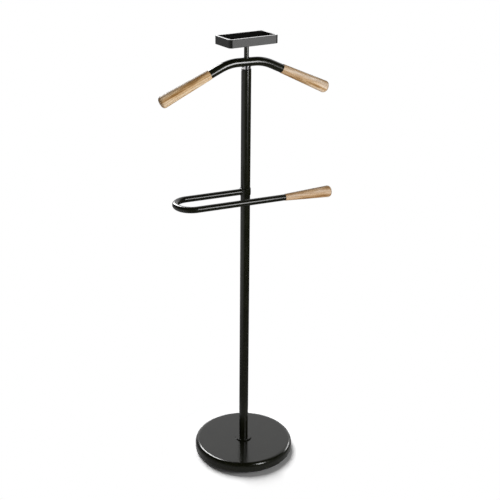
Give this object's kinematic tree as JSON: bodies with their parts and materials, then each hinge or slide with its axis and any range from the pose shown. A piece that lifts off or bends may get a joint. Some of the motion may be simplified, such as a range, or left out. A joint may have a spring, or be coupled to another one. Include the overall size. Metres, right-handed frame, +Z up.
{
  "type": "valet stand",
  "caption": "Free-standing valet stand with a weighted round base, slim pole, swivelling trouser bar, coat hanger with turned wooden grips and a small turning tray on top.",
  "frame": {"origin": "on the floor, at the middle of the base, on the pole's axis", "axes": "+Z up along the pole; X along the hanger, with the trouser bar's bend towards -X; -Y towards the front, where the trouser bar's long leg is"},
  "size_m": [0.4576, 0.274, 1.1761],
  "materials": {
    "black_powder_coat": "satin",
    "turned_wood": "satin lacquer",
    "zinc_steel": "zinc plated",
    "bright_steel": "polished",
    "cast_weight": "cast",
    "foam_pad": "matt",
    "tray_black": "satin"
  },
  "bodies": {
    "stand": {"base_pad": "foam_pad", "base_weight": "cast_weight", "base_cover": "black_powder_coat", "base_bolt": "zinc_steel", "base_lock_washer": "zinc_steel", "base_washer": "zinc_steel", "pole_flange": "black_powder_coat", "lower_pole": "black_powder_coat", "lower_pole_foot_plug": "zinc_steel", "lower_pole_top_plug": "zinc_steel", "pole_stud": "zinc_steel", "middle_pole_foot_plug": "zinc_steel", "middle_pole": "black_powder_coat", "middle_pole_top_plug": "zinc_steel", "ring_stud": "zinc_steel", "upper_pole_foot_plug": "zinc_steel", "upper_pole": "black_powder_coat", "spigot_stop": "zinc_steel"},
    "trouser_bar": {"bar_ring": "black_powder_coat", "trouser_bar": "black_powder_coat", "trouser_bar_grip": "turned_wood"},
    "hanger": {"hanger_tube": "black_powder_coat", "hanger_left_grip": "turned_wood", "hanger_right_grip": "turned_wood", "hanger_spigot": "bright_steel", "tray_stem": "black_powder_coat", "tray_flange": "black_powder_coat", "tray_screw": "zinc_steel", "tray_washer": "zinc_steel"},
    "tray": {"tray": "tray_black"}
  },
  "joints": [
    {"name": "trouser_bar_swivel", "type": "hinge", "parent": "stand", "child": "trouser_bar", "pos_m": [0, 0, 0.774], "axis": [0, 0, 1], "continuous": true},
    {"name": "hanger_swivel", "type": "hinge", "parent": "stand", "child": "hanger", "pos_m": [0, 0, 1.0905], "axis": [0, 0, 1], "continuous": true},
    {"name": "tray_swivel", "type": "hinge", "parent": "hanger", "child": "tray", "pos_m": [0, 0, 1.1553], "axis": [0, 0, 1], "continuous": true}
  ]
}
